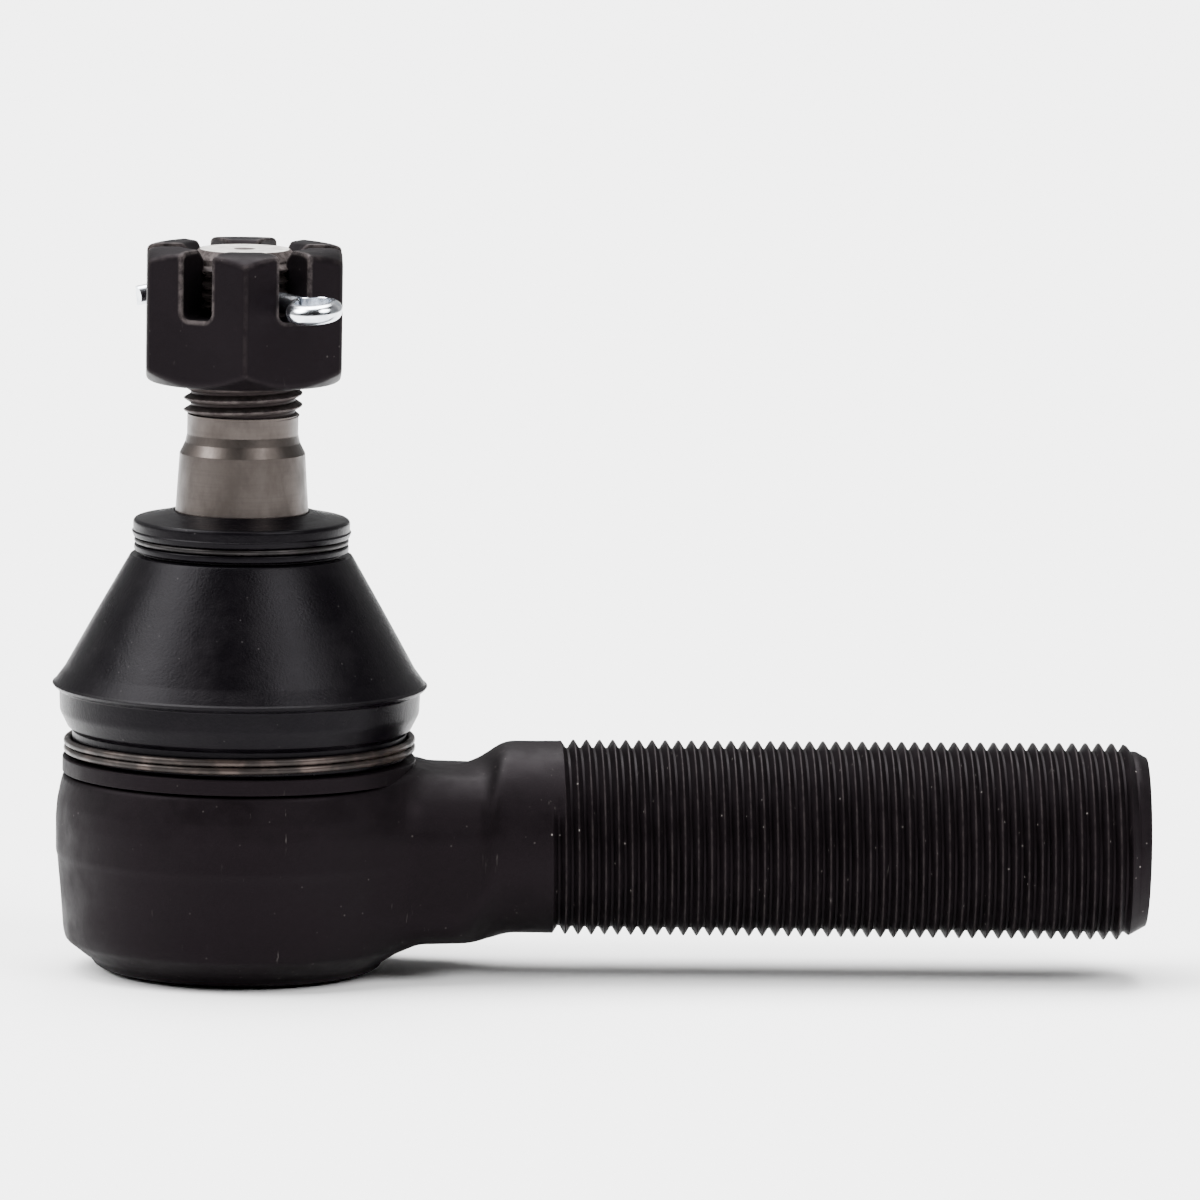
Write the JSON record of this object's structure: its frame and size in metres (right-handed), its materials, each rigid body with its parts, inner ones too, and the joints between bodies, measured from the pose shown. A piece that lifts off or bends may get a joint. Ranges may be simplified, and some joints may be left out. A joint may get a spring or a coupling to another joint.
{
  "type": "tie rod end",
  "caption": "Steering tie rod end: forged housing with threaded shank, ball stud with taper, slotted nut and cotter pin, and rubber dust boot.",
  "frame": {"origin": "on the stud's axis, in the plane of the housing's underside", "axes": "+Z along the ball stud towards its thread, +X along the threaded shank away from the ball"},
  "size_m": [0.1322, 0.0452, 0.0873],
  "materials": {
    "forged_steel": "black phosphate, satin",
    "stud_steel": "ground, oiled",
    "nut_steel": "black phosphate, satin",
    "pin_zinc": "bright zinc",
    "boot_rubber": "moulded, satin",
    "ring_wire": "dark spring wire",
    "seat_polymer": "moulded acetal",
    "spring_steel": "spring wire",
    "cover_steel": "black phosphate, satin"
  },
  "bodies": {
    "housing": {"housing": "forged_steel", "upper_seat": "seat_polymer", "end_cover": "cover_steel", "preload_spring": "spring_steel", "boot_clamp_ring": "ring_wire"},
    "lower_seat": {"lower_seat": "seat_polymer"},
    "boot": {"dust_boot": "boot_rubber"},
    "boot_neck": {"boot_neck_ring": "ring_wire"},
    "stud": {"ball_stud": "stud_steel", "castle_nut": "nut_steel", "cotter_pin": "pin_zinc"}
  },
  "joints": [
    {"name": "seat_travel", "type": "slide", "parent": "housing", "child": "lower_seat", "axis": [0, 0, 1], "range_m": [-0.0005, 0], "stiffness_N_per_m": 20000, "springref_m": 0.002, "deforming": ["preload_spring"]},
    {"name": "stud_swing", "type": "hinge", "parent": "housing", "child": "boot", "pos_m": [0, 0, 0.016], "axis": [0, 1, 0], "range_deg": [-20, 20], "deforming": ["dust_boot"]},
    {"name": "stud_rock", "type": "hinge", "parent": "boot", "child": "boot_neck", "pos_m": [0, 0, 0.016], "axis": [1, 0, 0], "range_deg": [-20, 20]},
    {"name": "stud_spin", "type": "hinge", "parent": "boot_neck", "child": "stud", "pos_m": [0, 0, 0.016], "axis": [0, 0, 1], "continuous": true}
  ]
}
